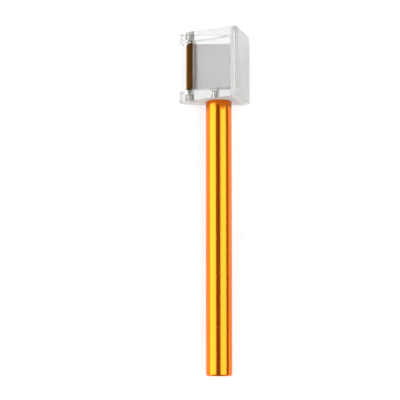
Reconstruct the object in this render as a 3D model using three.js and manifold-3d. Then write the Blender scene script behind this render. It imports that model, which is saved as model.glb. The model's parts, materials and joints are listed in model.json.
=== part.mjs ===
// Hand-held paint roller for leather and glass edges.
//
// A slim anodised handle carries a wedge-shaped acrylic tank. The tank is made of five flat plates.
// Its two end plates reach past the side walls as a pair of round-nosed lugs, and a knurled brass
// roller turns between them on its own conical pivots, which run in two set screws. The roller
// closes the mouth of the tank but for a thin gap on each side, through which it picks up the paint.
//
// Frame: millimetres. The origin is the centre of the handle's flat end face, +Y runs along the
// handle towards the tank, and +Z points away from the flank on which the tool lies.

import * as THREE from 'three';
import { mergeVertices } from 'three/addons/utils/BufferGeometryUtils.js';
import Module from 'manifold-3d';

// ---------------------------------------------------------------- driving dimensions

// Handle, a round aluminium bar
const handleDiameter = 10;
const handleLength = 104.5;
const handleEndRounding = 0.9;
const handleTopChamfer = 0.35;

// Tank, seen along the handle as a wedge with a round nose
const noseRadius = 4.1;
const flankAngle = THREE.MathUtils.degToRad(16);
const tankLength = 21.6; // nose centre to the wide end, along the centreline
const noseToHandle = 11.4; // nose centre to the handle's axis, along the centreline
const tankHeight = 19; // clear height between the two end plates
const cornerRounding = 1;
const endRounding = 1.1; // the end wall's far edges, above and below

// Acrylic sheet
const wallThickness = 3;
const lowerPlateThickness = 4.2;
const upperPlateThickness = 3.8;

// Roller
const rollerDiameter = 4.7;
const rollerSetback = 0.8; // nose centre to the roller's axis, along the centreline
const rollerChamfer = 0.3;
const pivotLength = 1.7;
const pivotTipRadius = 0.3;

// Screws
const screwDiameter = 3.9;
const pivotScrewLength = 2.4;
const screwChamfer = 0.25;
const pivotEngagement = 0.25; // depth of the pivot's tip inside its screw
const recessDepth = 0.9;
const recessWidth = 0.7;
const recessSpan = 2.3;
const studLength = 11.2;
const studSink = 0.8; // the stud's top, below the tank's floor
const studSlotWidth = 0.7;
const studSlotDepth = 1;
const drillPointLength = 1.1;

// Clearances
const glueGap = 0.1; // between two bonded faces
const threadClearance = 0.05; // radial
const rollerEndPlay = 0.2; // between the roller's body and each lug
const paintGap = 0.15; // between the roller and the mouth of the tank
const pivotClearance = 0.15; // radial, between a pivot's root and its hole
const seatClearance = 0.05; // between a pivot's tip and its seat
const studBottomGap = 0.5; // below the stud, in the handle

// Facets
const barSegments = 64;
const screwSegments = 40;
const noseSegments = 22;
const cornerSegments = 6;

// ---------------------------------------------------------------- derived sizes

const rollerRadius = rollerDiameter / 2;
const screwRadius = screwDiameter / 2;
const holeRadius = screwRadius + threadClearance;
const rollerBodyLength = tankHeight - 2 * rollerEndPlay;

// The end wall closes the wide end over its full width and height
const endWallStart = tankLength - wallThickness;

// Heights above the tank's lower face
const tankFloor = lowerPlateThickness;
const tankCeiling = tankFloor + tankHeight;
const headHeight = tankCeiling + upperPlateThickness;

// Half the wedge's thickness at a distance u from the nose centre
const halfThickness = (u) => noseRadius / Math.cos(flankAngle) + u * Math.tan(flankAngle);

// Half the clear width inside the side walls
const halfInside = (u) => halfThickness(u) - wallThickness / Math.cos(flankAngle);

// Start of the side walls: the place where their inner corners clear the roller by the paint gap
const mouthStart = (() => {
  const slope = Math.tan(flankAngle);
  const offset = halfInside(0);
  const reach = rollerRadius + paintGap;
  const a = 1 + slope * slope;
  const b = offset * slope - rollerSetback;
  const c = rollerSetback * rollerSetback + offset * offset - reach * reach;
  return (-b + Math.sqrt(b * b - a * c)) / a;
})();

// ---------------------------------------------------------------- solids

const wasm = await Module();
wasm.setup();

function toSolid(geometry) {
  const plain = geometry.clone();
  plain.deleteAttribute('normal');
  plain.deleteAttribute('uv');
  const merged = mergeVertices(plain, 1e-4);
  return new wasm.Manifold(new wasm.Mesh({
    numProp: 3,
    vertProperties: Float32Array.from(merged.attributes.position.array),
    triVerts: Uint32Array.from(merged.index.array),
  }));
}

function toGeometry(solid) {
  const mesh = solid.getMesh();
  const geometry = new THREE.BufferGeometry();
  geometry.setAttribute('position', new THREE.BufferAttribute(mesh.vertProperties, 3));
  geometry.setIndex(new THREE.BufferAttribute(mesh.triVerts, 1));
  geometry.computeVertexNormals();
  return geometry;
}

function cutAway(geometry, tools) {
  return toGeometry(tools.reduce((solid, tool) => solid.subtract(toSolid(tool)), toSolid(geometry)));
}

// A body of revolution about +Y from [radius, height] pairs
function turned(profile, segments) {
  return new THREE.LatheGeometry(profile.map(([r, y]) => new THREE.Vector2(r, y)), segments);
}

// A flat plate: a shape in the wedge's plane (u across, v through), given thickness along +Y
function plate(shape, thickness) {
  const geometry = new THREE.ExtrudeGeometry(shape, {
    depth: thickness,
    bevelEnabled: false,
    curveSegments: screwSegments,
  });
  return geometry.rotateX(-Math.PI / 2);
}

function roundHole(u, radius) {
  const hole = new THREE.Path();
  hole.absarc(u, 0, radius, 0, 2 * Math.PI, true);
  return hole;
}

// Points on an arc, both ends included
function arcPoints(cu, cv, radius, from, to, segments) {
  return Array.from({ length: segments + 1 }, (_, i) => {
    const angle = from + (to - from) * i / segments;
    return new THREE.Vector2(cu + radius * Math.cos(angle), cv + radius * Math.sin(angle));
  });
}

// ---------------------------------------------------------------- tank plates

// An end plate: the round nose, two flanks, and a straight edge against the end wall
function endPlate(thickness, holes) {
  const end = endWallStart - glueGap;
  const nose = arcPoints(0, 0, noseRadius, Math.PI / 2 + flankAngle, 1.5 * Math.PI - flankAngle,
    noseSegments);
  const outline = new THREE.Shape([
    ...nose,
    new THREE.Vector2(end, -halfThickness(end)),
    new THREE.Vector2(end, halfThickness(end)),
  ]);
  outline.holes.push(...holes);
  return plate(outline, thickness);
}

// A side wall, as a strip along one flank; side is +1 for the front and -1 for the rear
function sideWall(side) {
  const end = endWallStart - glueGap;
  const corners = [
    [mouthStart, halfInside(mouthStart)],
    [mouthStart, halfThickness(mouthStart)],
    [end, halfThickness(end)],
    [end, halfInside(end)],
  ];
  const strip = new THREE.Shape(corners.map(([u, v]) => new THREE.Vector2(u, -side * v)));
  return plate(strip, tankHeight - 2 * glueGap);
}

// The end wall's outline in the wedge's plane, with its far face drawn back
function endWallOutline(back) {
  const atCorner = tankLength - back - cornerRounding;
  const cornerHeight = halfThickness(atCorner) - cornerRounding / Math.cos(flankAngle);
  const turn = Math.PI / 2 + flankAngle;
  return [
    new THREE.Vector2(endWallStart, halfThickness(endWallStart)),
    new THREE.Vector2(endWallStart, -halfThickness(endWallStart)),
    ...arcPoints(atCorner, -cornerHeight, cornerRounding, -turn, 0, cornerSegments),
    ...arcPoints(atCorner, cornerHeight, cornerRounding, 0, turn, cornerSegments),
  ];
}

// The end wall, with all its outer corners and far edges rounded
function endWall() {
  const rounding = arcPoints(endRounding, endRounding, endRounding, -Math.PI / 2, -Math.PI, cornerSegments);
  const points = rounding.flatMap(({ x: back, y: height }) =>
    endWallOutline(back).flatMap(({ x: u, y: v }) => [[u, height, -v], [u, headHeight - height, -v]]));
  return toGeometry(wasm.Manifold.hull(points));
}

// ---------------------------------------------------------------- roller and screws

// The roller, from the tip of one conical pivot to the tip of the other
function roller() {
  const pivotRoot = holeRadius - pivotClearance;
  const half = rollerBodyLength / 2;
  const upperHalf = [
    [rollerRadius, half - rollerChamfer],
    [rollerRadius - rollerChamfer, half],
    [pivotRoot, half],
    [pivotTipRadius, half + pivotLength],
    [0, half + pivotLength],
  ];
  const lowerHalf = upperHalf.map(([r, y]) => [r, -y]).reverse();
  return turned([...lowerHalf, ...upperHalf], screwSegments);
}

// A pivot screw with its seat at height 0 and its cross recess on top
function pivotScrew() {
  const taper = (holeRadius - pivotClearance - pivotTipRadius) / pivotLength;
  const seatDepth = pivotEngagement + seatClearance;
  const seatBottomRadius = pivotTipRadius + seatClearance;
  const body = turned([
    [0, seatDepth],
    [seatBottomRadius, seatDepth],
    [seatBottomRadius + taper * seatDepth, 0],
    [screwRadius - screwChamfer, 0],
    [screwRadius, screwChamfer],
    [screwRadius, pivotScrewLength - screwChamfer],
    [screwRadius - screwChamfer, pivotScrewLength],
    [0, pivotScrewLength],
  ], screwSegments);
  const overshoot = 1;
  const bar = new THREE.BoxGeometry(recessSpan, recessDepth + overshoot, recessWidth);
  bar.translate(0, pivotScrewLength + (overshoot - recessDepth) / 2, 0);
  return cutAway(body, [bar, bar.clone().rotateY(Math.PI / 2)]);
}

// The stud that joins the handle to the lower end plate, slotted at its upper end
function stud() {
  const body = turned([
    [0, 0],
    [screwRadius - screwChamfer, 0],
    [screwRadius, screwChamfer],
    [screwRadius, studLength - screwChamfer],
    [screwRadius - screwChamfer, studLength],
    [0, studLength],
  ], screwSegments);
  const slot = new THREE.BoxGeometry(screwDiameter + 1, 2 * studSlotDepth, studSlotWidth);
  slot.translate(0, studLength, 0);
  return cutAway(body, [slot]);
}

// ---------------------------------------------------------------- handle

// Height of the tank's lower face above the handle's end, and of the stud's lower end
const headBase = handleLength + glueGap;
const studBase = headBase + tankFloor - studSink - studLength;

// The handle, with a blind hole for the stud down its top
function handle() {
  const radius = handleDiameter / 2;
  const holeBottom = studBase - studBottomGap;
  const rounding = arcPoints(radius - handleEndRounding, handleEndRounding, handleEndRounding,
    -Math.PI / 2, 0, cornerSegments).map((point) => point.toArray());
  return turned([
    [0, 0],
    ...rounding,
    [radius, handleLength - handleTopChamfer],
    [radius - handleTopChamfer, handleLength],
    [holeRadius, handleLength],
    [holeRadius, holeBottom],
    [0, holeBottom - drillPointLength],
  ], barSegments);
}

// ---------------------------------------------------------------- materials

const acrylic = () => new THREE.MeshStandardMaterial({
  color: 0xeef0ef,
  roughness: 0.06,
  metalness: 0,
  transparent: true,
  opacity: 0.4,
});
const anodised = () => new THREE.MeshStandardMaterial({ color: 0xf0a01c, roughness: 0.22, metalness: 1 });
const brass = () => new THREE.MeshStandardMaterial({ color: 0x8a5a2c, roughness: 0.4, metalness: 1 });
const steel = () => new THREE.MeshStandardMaterial({ color: 0xc9c8c0, roughness: 0.25, metalness: 1 });

// ---------------------------------------------------------------- assembly

const tool = new THREE.Group();

// The head's group has the wedge's centreline as its X axis, and its rear flank lies level
const head = new THREE.Group();
head.rotation.y = -flankAngle;
head.position.set(
  -noseToHandle * Math.cos(flankAngle),
  headBase,
  -noseToHandle * Math.sin(flankAngle),
);
tool.add(head);

function place(parent, name, geometry, material, x = 0, y = 0, z = 0) {
  const mesh = new THREE.Mesh(geometry, material);
  mesh.name = name;
  mesh.position.set(x, y, z);
  parent.add(mesh);
  return mesh;
}

place(tool, 'handle', handle(), anodised());
place(tool, 'handle_stud', stud(), steel(), 0, studBase);

const pivotHole = () => roundHole(rollerSetback, holeRadius);
const studHole = () => roundHole(noseToHandle, holeRadius);
place(head, 'lower_end_plate', endPlate(lowerPlateThickness, [pivotHole(), studHole()]), acrylic());
place(head, 'upper_end_plate', endPlate(upperPlateThickness, [pivotHole()]), acrylic(), 0, tankCeiling);
place(head, 'front_wall', sideWall(1), acrylic(), 0, tankFloor + glueGap);
place(head, 'rear_wall', sideWall(-1), acrylic(), 0, tankFloor + glueGap);
place(head, 'end_wall', endWall(), acrylic());

// The roller stands halfway between the lugs, and each screw meets one of its tips
const rollerMiddle = tankFloor + tankHeight / 2;
const tipDistance = rollerBodyLength / 2 + pivotLength;
const screwStart = tipDistance - pivotEngagement;
place(head, 'roller', roller(), brass(), rollerSetback, rollerMiddle);
place(head, 'upper_pivot_screw', pivotScrew(), steel(), rollerSetback, rollerMiddle + screwStart);
const lowerScrew = place(head, 'lower_pivot_screw', pivotScrew(), steel(), rollerSetback,
  rollerMiddle - screwStart);
lowerScrew.rotation.x = Math.PI;

export default tool;
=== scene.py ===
"""A hand-held roller applicator on a pale table: anodised bar handle, clear acrylic tank, brass roller."""

import json
import math

import bmesh
import bpy
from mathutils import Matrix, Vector
from mathutils.geometry import tessellate_polygon


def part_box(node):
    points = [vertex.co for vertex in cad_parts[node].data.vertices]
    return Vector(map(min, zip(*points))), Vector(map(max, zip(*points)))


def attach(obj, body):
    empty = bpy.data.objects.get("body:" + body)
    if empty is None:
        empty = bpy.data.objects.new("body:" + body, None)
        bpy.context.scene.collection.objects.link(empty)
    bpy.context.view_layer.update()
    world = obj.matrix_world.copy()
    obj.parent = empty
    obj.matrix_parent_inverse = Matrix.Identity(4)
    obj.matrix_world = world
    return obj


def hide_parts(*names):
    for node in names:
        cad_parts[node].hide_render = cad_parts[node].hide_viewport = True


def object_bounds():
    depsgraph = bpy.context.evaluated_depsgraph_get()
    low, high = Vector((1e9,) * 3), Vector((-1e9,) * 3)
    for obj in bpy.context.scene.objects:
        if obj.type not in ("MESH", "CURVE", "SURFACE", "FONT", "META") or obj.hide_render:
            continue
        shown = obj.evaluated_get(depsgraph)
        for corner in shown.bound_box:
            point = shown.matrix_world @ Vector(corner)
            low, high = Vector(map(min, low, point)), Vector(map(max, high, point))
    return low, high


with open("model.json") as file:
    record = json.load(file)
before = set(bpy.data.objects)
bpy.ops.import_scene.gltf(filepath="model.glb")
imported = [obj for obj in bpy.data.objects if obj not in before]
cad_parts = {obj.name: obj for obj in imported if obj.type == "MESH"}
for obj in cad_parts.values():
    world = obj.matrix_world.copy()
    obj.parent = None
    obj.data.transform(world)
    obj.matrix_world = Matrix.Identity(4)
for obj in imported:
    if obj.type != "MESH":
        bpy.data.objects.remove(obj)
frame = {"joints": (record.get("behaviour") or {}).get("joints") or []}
cad_low, cad_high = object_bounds()

MM = 0.001

# the acrylic pieces' material slots
# the grey of the sanded and shaded faces is painted shade
CLEAR, SANDED_AND_SHADED_WALL, DRILLED, SANDED_AND_SHADED_FLOOR, FROSTED = range(5)

# ------------------------------------------------------------------ sizes, in millimetres and radians

FLANK_ANGLE = math.radians(16)
NOSE_RADIUS = 4.1
NOSE_EASE = 0.01  # the nose and the end wall's corners are drawn this much inside their full radius
NOSE_STEPS = 72
NOSE_TO_HANDLE = 11.4
TANK_LENGTH = 21.6
WALL = 3.0
CORNER_ROUNDING = 1.0
CORNER_STEPS = 16
END_ROUNDING = 1.1  # the far edges of the end wall, above and below
END_STEPS = 7  # steps round each of those edges
ROLLER_SETBACK = 0.8
MOUTH_START = 2.48  # start of the side walls, just behind the roller
BOND = 0.02  # how far two bonded plates run into each other, so that no air shows between them
EDGE = 0.12  # small chamfer on the free edges of the acrylic
WALL_LIP = 0.1  # chamfer on the side walls' ends beside the roller
CEMENT_HALF = 0.05  # half the thickness of the cement line

HOLE_RADIUS = 2.0
HOLE_SIDES = 96
LOWER_HOLE_CHAMFER = 0.12  # the pivot hole in the lower plate, at the bottom
UPPER_HOLE_CHAMFER = 0.08  # the pivot hole in the upper plate, at the top
INNER_HOLE_CHAMFER = 0.05  # the other hole edges
THREAD_RADIUS = 1.94
THREAD_PITCH = 0.7
THREAD_DEPTH = 0.36
THREAD_BED = 1.5  # hole radius where a thread sits in the acrylic, just inside the thread's root
THREAD_FLANK = 4  # how steeply the thread rises from its root to its flat crest
THREAD_LEAD = 0.3  # taper at both ends of a thread
SCREW_SIDES = 72
SCREW_SEAT = 0.3  # depth of the pivot's seat in a screw's inner end
SCREW_RECESS = 0.9  # depth of the cross recess

ROLLER_RADIUS = 2.35
KNURL_DEPTH = 0.32
KNURL_TEETH = 18
KNURL_PITCH = 0.8
KNURL_STEEPNESS = 1.25  # over 1, so that the tips are flat
KNURL_CURVE = 0.9
PIVOT_ROOT = 1.85
PIVOT_TIP = 0.3
PIVOT_LENGTH = 1.7
PIVOT_TIP_EASE = 0.06  # the small chamfer on a pivot's tip
PIVOT_ROOT_EASE = 0.04  # the small fillet where a pivot leaves the roller
ROLLER_CHAMFER = 0.2

HANDLE_END_ROUNDING = 0.9
HANDLE_TOP_CHAMFER = 0.35
HANDLE_SIDES = 160
BORE_CHAMFER = 0.3
BORE_SPARE = 0.5  # the bore below the stud, to its full width
BORE_TIP = 1.6  # the bore below the stud, to the drill's tip

ACRYLIC_IOR = 1.49


def span(node, axis="y"):
    """Lowest and highest value of a CAD node along an axis, in millimetres."""
    index = "xyz".index(axis)
    low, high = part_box(node)
    return low[index] / MM, high[index] / MM


HEAD_BOTTOM, HEAD_TOP = span("end_wall")
TANK_FLOOR = span("lower_end_plate")[1]
TANK_CEILING = span("upper_end_plate")[0]
HANDLE_LENGTH = span("handle")[1]
HANDLE_RADIUS = span("handle", "x")[1]
REST_HEIGHT = span("rear_wall", "z")[0]
ROLLER_JOINT = next(joint for joint in frame["joints"] if joint["name"] == "roller_spin")
ROLLER_X, ROLLER_MIDDLE, ROLLER_Z = (value / MM for value in ROLLER_JOINT["pos_m"])


def half_thickness(u):
    """Half the wedge's thickness at u from the nose centre."""
    return NOSE_RADIUS / math.cos(FLANK_ANGLE) + u * math.tan(FLANK_ANGLE)


def half_inside(u):
    """Half the clear width between the side walls."""
    return half_thickness(u) - WALL / math.cos(FLANK_ANGLE)


def head_point(u, v, y):
    """A point of the wedge in the CAD frame: u along its centreline, v through its thickness."""
    along = u - NOSE_TO_HANDLE
    x = along * math.cos(FLANK_ANGLE) - v * math.sin(FLANK_ANGLE)
    z = along * math.sin(FLANK_ANGLE) + v * math.cos(FLANK_ANGLE)
    return Vector((x, y, z)) * MM


# ------------------------------------------------------------------ mesh building


class Shell:
    """Vertices and faces of one piece while it is built."""

    def __init__(self):
        self.points = []
        self.faces = []
        self.slots = []

    def ring(self, points):
        start = len(self.points)
        self.points += points
        return list(range(start, start + len(points)))

    def face(self, indices, slot=0):
        self.faces.append(indices)
        self.slots.append(slot)

    def band(self, lower, upper, slot=0):
        """Quads between two closed rings of the same length."""
        count = len(lower)
        for i in range(count):
            j = (i + 1) % count
            self.face([lower[i], lower[j], upper[j], upper[i]], slot)

    def fan(self, ring, centre, slot=0):
        tip = self.ring([centre])[0]
        count = len(ring)
        for i in range(count):
            self.face([ring[i], ring[(i + 1) % count], tip], slot)

    def cap(self, rings, flat_loops, slot=0):
        """Triangles that fill the first ring, less the others; flat_loops are the same in 2-D."""
        indices = [i for ring in rings for i in ring]
        loops = [[Vector((a, b, 0)) for a, b in loop] for loop in flat_loops]
        for triangle in tessellate_polygon(loops):
            self.face([indices[i] for i in triangle], slot)

    def build(self, name, materials, smooth_angle=30):
        mesh = bpy.data.meshes.new(name)
        mesh.from_pydata([tuple(p) for p in self.points], [], self.faces)
        for material in materials:
            mesh.materials.append(material)
        for polygon, slot in zip(mesh.polygons, self.slots):
            polygon.material_index = slot
        tidy_mesh(mesh)
        for polygon in mesh.polygons:
            polygon.use_smooth = True
        mesh.set_sharp_from_angle(angle=math.radians(smooth_angle))
        piece = bpy.data.objects.new(name, mesh)
        bpy.context.scene.collection.objects.link(piece)
        return piece


def tidy_mesh(mesh):
    """Welds the seams, drops empty faces and turns all faces outward."""
    bm = bmesh.new()
    bm.from_mesh(mesh)
    bmesh.ops.remove_doubles(bm, verts=bm.verts, dist=1e-7)
    bmesh.ops.dissolve_degenerate(bm, edges=bm.edges, dist=1e-8)
    bmesh.ops.recalc_face_normals(bm, faces=bm.faces)
    bm.to_mesh(mesh)
    bm.free()


def finish_piece(piece, body, slot, *nodes):
    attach(piece, body)
    if nodes:
        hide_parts(*nodes)


def circle(radius, count, turn=0.0):
    return [
        (radius * math.cos(turn + math.tau * i / count), radius * math.sin(turn + math.tau * i / count))
        for i in range(count)
    ]


def arc(cu, cv, radius, start, end, count):
    steps = [start + (end - start) * i / count for i in range(count + 1)]
    return [(cu + radius * math.cos(a), cv + radius * math.sin(a)) for a in steps]


# ------------------------------------------------------------------ acrylic plates


def inset(loop, distances):
    """The loop (counter-clockwise) with edge i, from point i to the next, moved inward by distances[i]."""
    straight = 0.02  # a corner whose turn has a smaller sine is moved along one normal
    count = len(loop)
    normals = []
    for i in range(count):
        (ax, ay), (bx, by) = loop[i], loop[(i + 1) % count]
        length = math.hypot(bx - ax, by - ay)
        normals.append((-(by - ay) / length, (bx - ax) / length))
    moved = []
    for i in range(count):
        (n1x, n1y), (n2x, n2y) = normals[i - 1], normals[i]
        d1, d2 = distances[i - 1], distances[i]
        cross = n1x * n2y - n1y * n2x
        if abs(cross) < straight:
            d = (d1 + d2) / 2
            moved.append((loop[i][0] + n2x * d, loop[i][1] + n2y * d))
        else:
            moved.append((
                loop[i][0] + (d1 * n2y - d2 * n1y) / cross,
                loop[i][1] + (d2 * n1x - d1 * n2x) / cross,
            ))
    return moved


def bevelled(points, low_edges, high_edges, bottom, top):
    """The levels, (loop, height), of a flat plate whose edges have their own chamfers below and above."""
    return [
        (inset(points, low_edges), bottom),
        (points, bottom + max(low_edges)),
        (points, top - max(high_edges)),
        (inset(points, high_edges), top),
    ]


def plate(name, levels, holes, materials, floor_loop=None, under=CLEAR):
    """A plate of acrylic lofted through its levels, from the bottom up.

    Each hole holds its place along the centreline and its profile, (radius, height) from the bottom up.
    floor_loop is a sanded stretch of the top face, grey with painted shade, round the second hole and clear
    of the first. under is the material slot of the bottom face.
    """
    shell = Shell()
    (low_loop, bottom), (high_loop, top) = levels[0], levels[-1]
    low_flat, high_flat = [low_loop], [high_loop]
    rings = [shell.ring([head_point(u, v, y) for u, v in loop]) for loop, y in levels]
    for lower, upper in zip(rings, rings[1:]):
        shell.band(lower, upper)
    low_rings, high_rings = [rings[0]], [rings[-1]]
    for u, profile in holes:
        loops = [[(u + a, -b) for a, b in circle(radius, HOLE_SIDES)] for radius, _ in profile]
        rings = [shell.ring([head_point(a, b, y) for a, b in loop]) for loop, (_, y) in zip(loops, profile)]
        for lower, upper in zip(rings, rings[1:]):
            shell.band(lower, upper, DRILLED)
        low_flat.append(loops[0])
        high_flat.append(loops[-1])
        low_rings.append(rings[0])
        high_rings.append(rings[-1])
    shell.cap(low_rings, low_flat, under)
    if floor_loop:
        inner = shell.ring([head_point(u, v, top) for u, v in floor_loop])
        shell.cap([*high_rings[:2], inner], [*high_flat[:2], floor_loop])
        shell.cap([inner, *high_rings[2:]], [floor_loop, *high_flat[2:]], SANDED_AND_SHADED_FLOOR)
    else:
        shell.cap(high_rings, high_flat)
    return shell.build(name, materials)


def hole(u, bottom, top, screw_low, screw_high, low_chamfer, high_chamfer):
    """A tapped hole through a plate: narrow where the screw's thread is bedded, and open elsewhere."""
    bed_low, bed_high = screw_low + BOND, screw_high - BOND
    profile = []
    if bed_low > bottom + low_chamfer:
        profile += [(HOLE_RADIUS + low_chamfer, bottom), (HOLE_RADIUS, bottom + low_chamfer)]
        profile += [(HOLE_RADIUS, bed_low), (THREAD_BED, bed_low)]
    else:
        profile += [(THREAD_BED, bottom)]
    if bed_high < top - high_chamfer:
        profile += [(THREAD_BED, bed_high), (HOLE_RADIUS, bed_high)]
        profile += [(HOLE_RADIUS, top - high_chamfer), (HOLE_RADIUS + high_chamfer, top)]
    else:
        profile += [(THREAD_BED, top)]
    return u, profile


def cavity_outline():
    """The sanded floor of the tank, grey with painted shade, between the side walls and clear of the
    roller's hole.
    """
    clearance = 0.2
    start = ROLLER_SETBACK + HOLE_RADIUS + clearance
    end = TANK_LENGTH - WALL
    corners = [(start, -1), (end, -1), (end, 1), (start, 1)]
    return [(u, side * half_inside(u)) for u, side in corners]


def end_plate_outline():
    """The round nose and two flanks of an end plate, and the chamfers of its outer and inner edges."""
    end = TANK_LENGTH - WALL + BOND
    first, last = math.pi / 2 + FLANK_ANGLE, 1.5 * math.pi - FLANK_ANGLE
    nose = arc(0, 0, NOSE_RADIUS - NOSE_EASE, first, last, NOSE_STEPS)
    points = nose + [
        (MOUTH_START, -half_thickness(MOUTH_START)),
        (end, -half_thickness(end)),
        (end, half_thickness(end)),
        (MOUTH_START, half_thickness(MOUTH_START)),
    ]
    nose_edges = len(nose) - 1
    outer = [EDGE] * (nose_edges + 2) + [0.0] + [EDGE] * 2
    inner = [EDGE] * (nose_edges + 1) + [0.0] * 3 + [EDGE]
    return points, outer, inner


def build_end_plates(materials):
    points, outer, inner = end_plate_outline()
    low, high = HEAD_BOTTOM, TANK_FLOOR
    chamfer = INNER_HOLE_CHAMFER
    stud_hole = [
        (HOLE_RADIUS + chamfer, low),
        (HOLE_RADIUS, low + chamfer),
        (HOLE_RADIUS, high - chamfer),
        (HOLE_RADIUS + chamfer, high),
    ]
    holes = [
        hole(ROLLER_SETBACK, low, high, *span("lower_pivot_screw"), LOWER_HOLE_CHAMFER, chamfer),
        (NOSE_TO_HANDLE, stud_hole),
    ]
    levels = bevelled(points, outer, inner, low, high)
    lower = plate("lower_end_plate_acrylic", levels, holes, materials, cavity_outline(), FROSTED)
    finish_piece(lower, "holder", "tank", "lower_end_plate")
    low, high = TANK_CEILING, HEAD_TOP
    holes = [hole(ROLLER_SETBACK, low, high, *span("upper_pivot_screw"), chamfer, UPPER_HOLE_CHAMFER)]
    upper = plate("upper_end_plate_acrylic", bevelled(points, inner, outer, low, high), holes, materials)
    finish_piece(upper, "holder", "tank", "upper_end_plate")


def build_side_wall(name, side, node, materials, inside):
    """A side wall; side is +1 for the front and -1 for the rear, and inside is its inner face's slot."""
    end = TANK_LENGTH - WALL + BOND
    start, lip = MOUTH_START, WALL_LIP
    outline = [
        (start, half_inside(start) + lip),
        (start, half_thickness(start) - lip),
        (start + lip, half_thickness(start + lip)),
        (end, half_thickness(end)),
        (end, half_inside(end)),
        (start + lip, half_inside(start + lip)),
    ]
    loop = [(u, side * v) for u, v in outline]
    if side > 0:
        loop.reverse()
    shell = Shell()
    low = shell.ring([head_point(u, v, TANK_FLOOR - BOND) for u, v in loop])
    high = shell.ring([head_point(u, v, TANK_CEILING + BOND) for u, v in loop])
    inner_edges = {(end, half_inside(end)), (start + lip, half_inside(start + lip))}
    for i in range(len(loop)):
        j = (i + 1) % len(loop)
        is_inner = {(u, side * v) for u, v in (loop[i], loop[j])} == inner_edges
        shell.face([low[i], low[j], high[j], high[i]], inside if is_inner else CLEAR)
    shell.cap([low], [loop])
    shell.cap([high], [loop])
    piece = shell.build(name, materials)
    finish_piece(piece, "holder", "tank", node)


def end_wall_outline(back):
    """The end wall, counter-clockwise from its joint, with its far face drawn back."""
    start = TANK_LENGTH - WALL
    at_corner = TANK_LENGTH - back - CORNER_ROUNDING
    reach = half_thickness(at_corner) - CORNER_ROUNDING / math.cos(FLANK_ANGLE)
    turn = math.pi / 2 + FLANK_ANGLE
    return [
        (start, half_thickness(start)),
        (start, -half_thickness(start)),
        *arc(at_corner, -reach, CORNER_ROUNDING - NOSE_EASE, -turn, 0, CORNER_STEPS),
        *arc(at_corner, reach, CORNER_ROUNDING - NOSE_EASE, 0, turn, CORNER_STEPS),
    ]


def build_end_wall(materials):
    """The end wall, rounded above and below along its far face, with a frosted inner face."""
    radius = END_ROUNDING
    first = math.acos(1 - EDGE / radius)
    turns = [first + (math.pi / 2 - first) * k / END_STEPS for k in range(END_STEPS + 1)]
    rounding = [(end_wall_outline(radius * (1 - math.sin(t))), radius * (1 - math.cos(t))) for t in turns]
    face = end_wall_outline(radius)
    edge_loop = inset(face, [0.0] + [EDGE] * (len(face) - 1))
    levels = [(edge_loop, HEAD_BOTTOM)] + [(loop, HEAD_BOTTOM + rise) for loop, rise in rounding]
    levels += [(loop, HEAD_TOP - drop) for loop, drop in reversed(rounding)] + [(edge_loop, HEAD_TOP)]
    wall = plate("end_wall_acrylic", levels, [], materials)
    inward = (head_point(-1, 0, 0) - head_point(0, 0, 0)).normalized()
    for polygon in wall.data.polygons:
        if polygon.normal.dot(inward) > 0.99:
            polygon.material_index = FROSTED
    finish_piece(wall, "holder", "tank", "end_wall")


def build_end_joint(material):
    """The cement between the end wall and the ends of the other four plates, a frame round the cavity."""
    at = TANK_LENGTH - WALL
    outer_v, inner_v = half_thickness(at) - EDGE, half_inside(at)
    low, high = HEAD_BOTTOM + EDGE, HEAD_TOP - EDGE
    outer = [(-outer_v, low), (outer_v, low), (outer_v, high), (-outer_v, high)]
    low, high = TANK_FLOOR, TANK_CEILING
    inner = [(-inner_v, low), (inner_v, low), (inner_v, high), (-inner_v, high)]
    shell = Shell()
    rings = {}
    for u in (at - CEMENT_HALF, at + CEMENT_HALF):
        for label, loop in (("outer", outer), ("inner", inner)):
            rings[label, u] = shell.ring([head_point(u, v, y) for v, y in loop])
        shell.cap([rings["outer", u], rings["inner", u]], [outer, inner[::-1]])
    for label in ("outer", "inner"):
        shell.band(rings[label, at - CEMENT_HALF], rings[label, at + CEMENT_HALF])
    joint = shell.build("end_joint_cement", [material])
    finish_piece(joint, "holder", "tank")


# ------------------------------------------------------------------ turned parts


def on_axis(x, z):
    """A function that puts (radius, angle, height) round an axis along +Y."""
    return lambda r, a, y: Vector((x + r * math.cos(a), y, z + r * math.sin(a))) * MM


def build_handle(material):
    """The bar, from the middle of its rounded lower end, up its side and down into the stud's bore."""
    place = on_axis(0, 0)
    radius = HANDLE_RADIUS
    count = HANDLE_SIDES
    stud_low = span("handle_stud")[0]
    steps, face_count = 12, 8
    rounding = [
        (radius - HANDLE_END_ROUNDING * (1 - math.sin(t)), HANDLE_END_ROUNDING * (1 - math.cos(t)))
        for t in (math.pi / 2 * i / steps for i in range(steps + 1))
    ]
    flat = radius - HANDLE_END_ROUNDING
    face_rings = [(flat * k / face_count, 0.0) for k in range(1, face_count)]
    body = [(radius, y) for y in range(5, 100, 15)]
    top = [
        (radius, HANDLE_LENGTH - HANDLE_TOP_CHAMFER),
        (radius - HANDLE_TOP_CHAMFER * 0.35, HANDLE_LENGTH - HANDLE_TOP_CHAMFER * 0.3),
        (radius - HANDLE_TOP_CHAMFER, HANDLE_LENGTH),
        (HOLE_RADIUS + BORE_CHAMFER, HANDLE_LENGTH),
        (HOLE_RADIUS, HANDLE_LENGTH - BORE_CHAMFER),
        (HOLE_RADIUS, stud_low - BORE_SPARE),
    ]
    shell = Shell()
    profile = face_rings + rounding + body + top
    rings = [shell.ring([place(r, math.tau * i / count, y) for i in range(count)]) for r, y in profile]
    shell.fan(rings[0], place(0, 0, 0))
    for lower, upper in zip(rings, rings[1:]):
        shell.band(lower, upper)
    shell.fan(rings[-1], place(0, 0, stud_low - BORE_TIP))
    handle = shell.build("handle_bar", [material], smooth_angle=40)
    finish_piece(handle, "holder", "handle", "handle")


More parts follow.
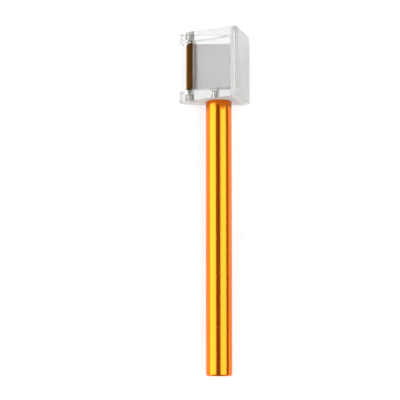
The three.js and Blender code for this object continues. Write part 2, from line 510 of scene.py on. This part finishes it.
def knurl_height(angle, y):
    """0 in the grooves and 1 on the tips of a diamond knurl."""
    turn = angle / math.tau * KNURL_TEETH
    along = y / KNURL_PITCH
    left = abs(((turn + along) % 1.0) - 0.5) * 2
    right = abs(((turn - along) % 1.0) - 0.5) * 2
    return min(1.0, KNURL_STEEPNESS * (1 - max(left, right))) ** KNURL_CURVE


def build_roller(material):
    """The knurled roller, with a conical pivot turned on each end."""
    place = on_axis(ROLLER_X, ROLLER_Z)
    low, high = span("roller")
    body_low, body_high = low + PIVOT_LENGTH, high - PIVOT_LENGTH
    across_tooth, along_tooth = 12, 10
    count = KNURL_TEETH * across_tooth
    step = KNURL_PITCH / along_tooth
    core = ROLLER_RADIUS - KNURL_DEPTH
    end_face = core - 0.12
    knurl_low, knurl_high = body_low + ROLLER_CHAMFER * 0.5, body_high - ROLLER_CHAMFER * 0.5
    rows = round((knurl_high - knurl_low) / step)
    shell = Shell()

    def plain(r, y):
        return shell.ring([place(r, math.tau * i / count, y) for i in range(count)])

    def knurled(y):
        ring = []
        for i in range(count):
            angle = math.tau * i / count
            tip = core + KNURL_DEPTH * knurl_height(angle, y - ROLLER_MIDDLE)
            edge = min(y - body_low, body_high - y) + ROLLER_RADIUS - ROLLER_CHAMFER
            ring.append(place(min(tip, edge), angle, y))
        return shell.ring(ring)

    rings = [
        plain(PIVOT_TIP * 0.8, low),
        plain(PIVOT_TIP, low + PIVOT_TIP_EASE),
        plain(PIVOT_ROOT, body_low - PIVOT_ROOT_EASE),
        plain(PIVOT_ROOT + PIVOT_ROOT_EASE, body_low),
        plain(end_face, body_low),
    ]
    rings += [knurled(knurl_low + (knurl_high - knurl_low) * i / rows) for i in range(rows + 1)]
    rings += [
        plain(end_face, body_high),
        plain(PIVOT_ROOT + PIVOT_ROOT_EASE, body_high),
        plain(PIVOT_ROOT, body_high + PIVOT_ROOT_EASE),
        plain(PIVOT_TIP, high - PIVOT_TIP_EASE),
        plain(PIVOT_TIP * 0.8, high),
    ]
    shell.fan(rings[0], place(0, 0, low))
    for lower, upper in zip(rings, rings[1:]):
        shell.band(lower, upper)
    shell.fan(rings[-1], place(0, 0, high))
    roller = shell.build("roller_knurled", [material], smooth_angle=50)
    finish_piece(roller, "roller", "roller", "roller")


def cross_loop(half_span, half_width):
    """The outline of a cross, counter-clockwise, with an inner corner between each pair of arms."""
    s, w = half_span, half_width
    quarter = [(s, -w), (s, w), (w, w)]
    loop = []
    for k in range(4):
        c, n = round(math.cos(k * math.pi / 2)), round(math.sin(k * math.pi / 2))
        loop += [(x * c - y * n, x * n + y * c) for x, y in quarter]
    return loop


def threaded(name, x, z, inner_end, outer_end, seat_depth, material):
    """A headless screw along Y, threaded, with a cross recess in its outer end.

    A seat_depth above 0 gives its inner end a conical seat for a pivot, and 0 leaves that end flat.
    """
    place = on_axis(x, z)
    sign = 1 if outer_end > inner_end else -1
    length = abs(outer_end - inner_end)
    count = SCREW_SIDES
    rows_a_turn = 8
    rows = round(length / (THREAD_PITCH / rows_a_turn))
    shell = Shell()

    def at(depth):
        return inner_end + sign * depth

    def thread_ring(depth):
        ring = []
        for i in range(count):
            angle = math.tau * i / count
            phase = (depth / THREAD_PITCH - sign * i / count) % 1.0
            crest = min(1.0, THREAD_FLANK * (1 - abs(phase - 0.5) * 2))
            r = THREAD_RADIUS - THREAD_DEPTH * (1 - crest)
            limit = THREAD_RADIUS - THREAD_LEAD + min(depth, length - depth)
            ring.append(place(min(r, limit), angle, at(depth)))
        return shell.ring(ring)

    def plain(r, depth):
        return shell.ring([place(r, math.tau * i / count, at(depth)) for i in range(count)])

    rings = []
    if seat_depth > 0:
        seat_radius, seat_slope = PIVOT_TIP + 0.05, 0.9
        rings += [plain(seat_radius, seat_depth), plain(seat_radius + seat_slope * seat_depth, 0)]
    else:
        rings += [plain(0.8, 0)]
    shell.fan(rings[0], place(0, 0, at(seat_depth)))
    rings += [thread_ring(length * i / rows) for i in range(rows + 1)]
    for lower, upper in zip(rings, rings[1:]):
        shell.band(lower, upper)
    mouth = cross_loop(half_span=1.15, half_width=0.32)
    bottom = cross_loop(half_span=0.85, half_width=0.2)

    def flat_ring(loop, depth):
        return shell.ring([Vector((x + a, at(depth), z + b)) * MM for a, b in loop])

    mouth_ring = flat_ring(mouth, length)
    bottom_ring = flat_ring(bottom, length - SCREW_RECESS)
    rim = circle(THREAD_RADIUS - THREAD_LEAD, count)
    rim_ring = flat_ring(rim, length)
    shell.band(rings[-1], rim_ring)
    shell.cap([rim_ring, mouth_ring], [rim, mouth])
    shell.band(mouth_ring, bottom_ring)
    shell.cap([bottom_ring], [bottom])
    return shell.build(name, [material], smooth_angle=35)


def build_screws(material):
    """The two pivot screws, whose inner ends face the roller, and the stud between handle and tank."""
    low, high = span("upper_pivot_screw")
    upper = threaded("upper_pivot_screw_threaded", ROLLER_X, ROLLER_Z, low, high, SCREW_SEAT, material)
    finish_piece(upper, "upper_screw", "steel", "upper_pivot_screw")
    low, high = span("lower_pivot_screw")
    lower = threaded("lower_pivot_screw_threaded", ROLLER_X, ROLLER_Z, high, low, SCREW_SEAT, material)
    finish_piece(lower, "lower_screw", "steel", "lower_pivot_screw")
    low, high = span("handle_stud")
    stud = threaded("handle_stud_threaded", 0, 0, low, high, 0, material)
    finish_piece(stud, "holder", "steel", "handle_stud")


# ------------------------------------------------------------------ materials


class Nodes:
    """The node tree of a material or the world, with short calls for adding and joining nodes."""

    def __init__(self, owner, output="ShaderNodeOutputMaterial"):
        owner.use_nodes = True
        self.owner = owner
        self.tree = owner.node_tree
        self.tree.nodes.clear()
        self.output = self.add(output)

    def add(self, kind, inputs=None, **settings):
        node = self.tree.nodes.new(kind)
        for key, value in settings.items():
            setattr(node, key, value)
        for key, value in (inputs or {}).items():
            node.inputs[key].default_value = value
        return node

    def join(self, source, target):
        self.tree.links.new(source, target)

    def surface(self, shader):
        self.join(shader.outputs[0], self.output.inputs["Surface"])

    def mix(self, share, first, second):
        """A shader that is share of the second and the rest of the first."""
        node = self.add("ShaderNodeMixShader", {"Fac": share})
        self.join(first.outputs[0], node.inputs[1])
        self.join(second.outputs[0], node.inputs[2])
        return node

    def noise(self, scale, detail=3.0, roughness=0.5, stretch=(1, 1, 1)):
        """Noise in object space, with scale in cycles per metre and stretch as its factor on each axis."""
        place = self.add("ShaderNodeTexCoord")
        mapping = self.add("ShaderNodeMapping", {"Scale": stretch})
        self.join(place.outputs["Object"], mapping.inputs["Vector"])
        noise = self.add("ShaderNodeTexNoise", {"Scale": scale, "Detail": detail, "Roughness": roughness})
        self.join(mapping.outputs["Vector"], noise.inputs["Vector"])
        return noise.outputs["Fac"]

    def remap(self, value, low, high, from_low=0.3, from_high=0.7):
        """The value, clamped between from_low and from_high, spread from low to high."""
        node = self.add(
            "ShaderNodeMapRange",
            {"From Min": from_low, "From Max": from_high, "To Min": low, "To Max": high},
        )
        self.join(value, node.inputs["Value"])
        return node.outputs["Result"]

    def ramp(self, value, stops):
        node = self.add("ShaderNodeValToRGB")
        band = node.color_ramp
        while len(band.elements) < len(stops):
            band.elements.new(0.5)
        for element, (position, colour) in zip(band.elements, stops):
            element.position = position
            element.color = (*colour, 1.0)
        self.join(value, node.inputs["Fac"])
        return node.outputs["Color"]

    def bump(self, height, strength, distance):
        node = self.add("ShaderNodeBump", {"Strength": strength, "Distance": distance})
        self.join(height, node.inputs["Height"])
        return node.outputs["Normal"]


def new_material(name):
    return Nodes(bpy.data.materials.new(name))


def acrylic_shader(m, **inputs):
    """Solid acrylic; inputs are the sockets that are the same all over it."""
    values = {"IOR": ACRYLIC_IOR, "Transmission Weight": 1.0}
    values.update({key.replace("_", " "): value for key, value in inputs.items()})
    return m.add("ShaderNodeBsdfPrincipled", values)


def clear_acrylic():
    """Polished cast acrylic, with the faintest smears of handling."""
    m = new_material("clear_acrylic")
    shader = acrylic_shader(m, Specular_IOR_Level=0.3)
    smear = m.noise(220, detail=4, roughness=0.55, stretch=(1, 0.6, 1))
    m.join(m.remap(smear, 0.0, 0.035, 0.45, 0.75), shader.inputs["Roughness"])
    tone = m.noise(60, detail=2)
    tints = [(0.3, (0.99, 0.992, 0.99)), (0.7, (0.998, 0.998, 0.996))]
    m.join(m.ramp(tone, tints), shader.inputs["Base Color"])
    m.surface(shader)
    return m.owner


def worked_acrylic(name, roughness, tint, grain, tones, share):
    """Acrylic with a worked face: share of the light is scattered by its grain, and the rest passes."""
    m = new_material(name)
    clear = acrylic_shader(m, Roughness=roughness, Base_Color=(*tint, 1))
    matt = m.add("ShaderNodeBsdfDiffuse", {"Roughness": 0.3})
    low, high = tones
    m.join(m.ramp(m.noise(**grain), [(0.35, low), (0.65, high)]), matt.inputs["Color"])
    m.surface(m.mix(share, clear, matt))
    return m.owner


def satin_with_painted_shade(name, dark, light):
    """A sanded inner face of the tank: a satin that scatters the light, grey with painted shade for the
    shaded table seen through the tank.
    """
    grain = {"scale": 1500, "detail": 5, "roughness": 0.6, "stretch": (1, 0.12, 1)}
    # painted shade: these grey diffuse tones stand in for the shade under the tank
    tones = [(dark, dark * 1.03, dark * 1.02), (light, light * 1.02, light)]
    return worked_acrylic(name, 0.35, (0.7, 0.71, 0.71), grain, tones, 0.75)


def frosted_acrylic():
    """A sawn and glued face: white with fine scratches, and hardly see-through."""
    grain = {"scale": 1800, "detail": 4, "roughness": 0.6, "stretch": (1, 0.1, 1)}
    tones = [(0.76, 0.76, 0.75), (0.8, 0.8, 0.79)]
    return worked_acrylic("frosted_acrylic", 0.5, (0.97, 0.97, 0.97), grain, tones, 0.6)


def cement():
    """The thin line of set cement in a bonded joint, milky where it holds small bubbles."""
    m = new_material("set_cement")
    through = m.add("ShaderNodeBsdfTransparent", {"Color": (1, 1, 1, 1)})
    milky = m.add("ShaderNodeBsdfDiffuse", {"Color": (0.93, 0.93, 0.92, 1), "Roughness": 0.2})
    bubbles = m.noise(1400, detail=3, roughness=0.6)
    mix = m.mix(0.5, through, milky)
    m.join(m.remap(bubbles, 0.25, 0.6), mix.inputs["Fac"])
    m.surface(mix)
    return m.owner


def drilled_acrylic():
    """The wall of a drilled and tapped hole: clear, with fine rings."""
    m = new_material("drilled_acrylic")
    shader = acrylic_shader(m, Roughness=0.08, Base_Color=(0.97, 0.97, 0.965, 1))
    rings = m.noise(400, detail=2, stretch=(0.2, 6, 0.2))
    m.join(m.bump(rings, strength=0.3, distance=0.04 * MM), shader.inputs["Normal"])
    m.surface(shader)
    return m.owner


def anodised_aluminium():
    """Bright orange-gold anodising over a drawn and polished bar."""
    m = new_material("anodised_aluminium")
    shader = m.add("ShaderNodeBsdfPrincipled", {"Metallic": 1.0})
    drawn = m.noise(900, detail=4, roughness=0.6, stretch=(1, 0.012, 1))
    m.join(m.remap(drawn, 0.17, 0.2), shader.inputs["Roughness"])
    dye = m.noise(35, stretch=(1, 0.3, 1))
    dyes = [(0.3, (0.77, 0.18, 0.011)), (0.7, (0.81, 0.2, 0.014))]
    m.join(m.ramp(dye, dyes), shader.inputs["Base Color"])
    m.join(m.bump(drawn, strength=0.03, distance=0.02 * MM), shader.inputs["Normal"])
    m.surface(shader)
    return m.owner


def browned_brass():
    """Knurled brass, with painted shade making the grooves near black against the lighter tips."""
    m = new_material("browned_brass")
    shader = m.add("ShaderNodeBsdfPrincipled", {"Metallic": 1.0})
    place = m.add("ShaderNodeTexCoord")
    axis = (ROLLER_X * MM, 0, ROLLER_Z * MM)
    offset = m.add("ShaderNodeVectorMath", {1: axis}, operation="SUBTRACT")
    m.join(place.outputs["Object"], offset.inputs[0])
    across = m.add("ShaderNodeVectorMath", {1: (1, 0, 1)}, operation="MULTIPLY")
    m.join(offset.outputs[0], across.inputs[0])
    radius = m.add("ShaderNodeVectorMath", operation="LENGTH")
    m.join(across.outputs[0], radius.inputs[0])
    groove, tip = (ROLLER_RADIUS - KNURL_DEPTH) * MM, ROLLER_RADIUS * MM
    height = m.remap(radius.outputs["Value"], 0, 1, groove, tip)
    # painted shade: the base colour goes from near black in the grooves to brass on the tips
    groove_shade_to_tip = [(0.3, (0.018, 0.007, 0.002)), (0.85, (0.4, 0.175, 0.042))]
    m.join(m.ramp(height, groove_shade_to_tip), shader.inputs["Base Color"])
    patches = m.noise(700, detail=4, roughness=0.6)
    m.join(m.remap(patches, 0.3, 0.42), shader.inputs["Roughness"])
    m.surface(shader)
    return m.owner


def plated_steel():
    """Plated steel, greyed in patches by handling."""
    m = new_material("plated_steel")
    shader = m.add("ShaderNodeBsdfPrincipled", {"Metallic": 1.0})
    patches = m.noise(900)
    greys = [(0.3, (0.25, 0.24, 0.22)), (0.7, (0.34, 0.325, 0.3))]
    m.join(m.ramp(patches, greys), shader.inputs["Base Color"])
    m.join(m.remap(patches, 0.08, 0.16), shader.inputs["Roughness"])
    m.surface(shader)
    return m.owner


# ------------------------------------------------------------------ stage


def build_floor():
    """A pale table, faintly luminous, just under the handle's end and the tank's flank."""
    m = new_material("pale_table")
    shader = m.add("ShaderNodeBsdfPrincipled", {"Roughness": 0.75, "Specular IOR Level": 0.2})
    paper = m.noise(90)
    whites = [(0.3, (0.4, 0.4, 0.4)), (0.7, (0.42, 0.42, 0.415))]
    m.join(m.ramp(paper, whites), shader.inputs["Base Color"])
    shader.inputs["Emission Color"].default_value = (1, 1, 1, 1)
    shader.inputs["Emission Strength"].default_value = 0.57
    m.surface(shader)
    half_width = 2000.0
    slope = (-HANDLE_RADIUS - REST_HEIGHT) / HEAD_BOTTOM
    gap = 0.02

    def at(x, y):
        return Vector((x, y, -HANDLE_RADIUS - slope * y - gap)) * MM

    shell = Shell()
    corners = [(-1, -1), (1, -1), (1, 1), (-1, 1)]
    shell.face(shell.ring([at(x * half_width, y * half_width) for x, y in corners]))
    floor = shell.build("table", [m.owner])


def softbox(name, degrees, width, radiance, centre):
    """A softbox to one side, turned from straight up towards +X, with its long side along Y."""
    angle = math.radians(degrees)
    distance, length = 0.7, 1.0
    light = bpy.data.lights.new(name, "AREA")
    light.shape = "RECTANGLE"
    light.size = width
    light.size_y = length
    light.energy = radiance * math.pi * width * length
    lamp = bpy.data.objects.new(name, light)
    direction = Vector((math.sin(angle), 0, math.cos(angle)))
    lamp.location = centre + direction * distance
    lamp.rotation_euler = (0, angle, 0)
    bpy.context.scene.collection.objects.link(lamp)


def build_lights():
    """Two softboxes in a room that darkens overhead, to the right and towards the handle's end."""
    middle = (cad_low + cad_high) / 2
    softbox("softbox_left", degrees=-56.2, width=0.74, radiance=3.8, centre=middle)
    softbox("softbox_right", degrees=39.5, width=0.66, radiance=3.5, centre=middle)
    world = bpy.data.worlds.new("studio")
    room = Nodes(world, "ShaderNodeOutputWorld")
    place = room.add("ShaderNodeTexCoord")
    split = room.add("ShaderNodeSeparateXYZ")
    room.join(place.outputs["Generated"], split.inputs[0])
    greys = [(0.12, (0.8, 0.8, 0.8)), (0.5, (0.22, 0.22, 0.22))]
    overhead = room.ramp(split.outputs["Z"], greys)
    right = room.remap(split.outputs["X"], low=1.0, high=0.4, from_low=0.65, from_high=0.9)
    near = room.remap(split.outputs["Y"], low=0.15, high=1.0, from_low=-0.9, from_high=-0.3)
    both = room.add("ShaderNodeMath", operation="MULTIPLY")
    room.join(right, both.inputs[0])
    room.join(near, both.inputs[1])
    shade = room.add("ShaderNodeVectorMath", operation="SCALE")
    room.join(overhead, shade.inputs[0])
    room.join(both.outputs["Value"], shade.inputs["Scale"])
    background = room.add("ShaderNodeBackground")
    room.join(shade.outputs["Vector"], background.inputs["Color"])
    room.surface(background)
    bpy.context.scene.world = world


def build_camera():
    """Looks down on the tool from above the handle's far end, tipped up towards the tank."""
    camera = bpy.data.cameras.new("camera")
    camera.sensor_width = 36
    camera.lens = 122.5
    camera.clip_start = 0.01
    camera.clip_end = 10
    lens = bpy.data.objects.new("camera", camera)
    lens.location = Vector((-7.178, 6.382, 514.59)) * MM
    lens.rotation_euler = (math.radians(6.6685), 0, 0)
    bpy.context.scene.collection.objects.link(lens)
    bpy.context.scene.camera = lens


def set_look():
    """Plain colours, and light that can pass through many faces."""
    scene = bpy.context.scene
    scene.view_settings.view_transform = "Standard"
    scene.view_settings.look = "None"
    many = 32  # enough for light to cross every acrylic face of the tank
    scene.cycles.max_bounces = many
    scene.cycles.transmission_bounces = many
    scene.cycles.transparent_max_bounces = many
    scene.cycles.glossy_bounces = many // 2


# ------------------------------------------------------------------ assembly

# in the order of the slots CLEAR, SANDED_AND_SHADED_WALL, DRILLED, SANDED_AND_SHADED_FLOOR, FROSTED
acrylic = [
    clear_acrylic(),
    # the grey tones of the rear wall's inside and of the tank floor are painted shade
    satin_with_painted_shade("satin_wall_painted_shade", 0.27, 0.33),
    drilled_acrylic(),
    satin_with_painted_shade("satin_floor_painted_shade", 0.52, 0.58),
    frosted_acrylic(),
]
build_end_plates(acrylic)
build_side_wall("front_wall_acrylic", 1, "front_wall", acrylic, CLEAR)
build_side_wall("rear_wall_acrylic", -1, "rear_wall", acrylic, SANDED_AND_SHADED_WALL)
build_end_wall(acrylic)
build_end_joint(cement())
build_handle(anodised_aluminium())
build_roller(browned_brass())
build_screws(plated_steel())
build_floor()
build_lights()
build_camera()
set_look()
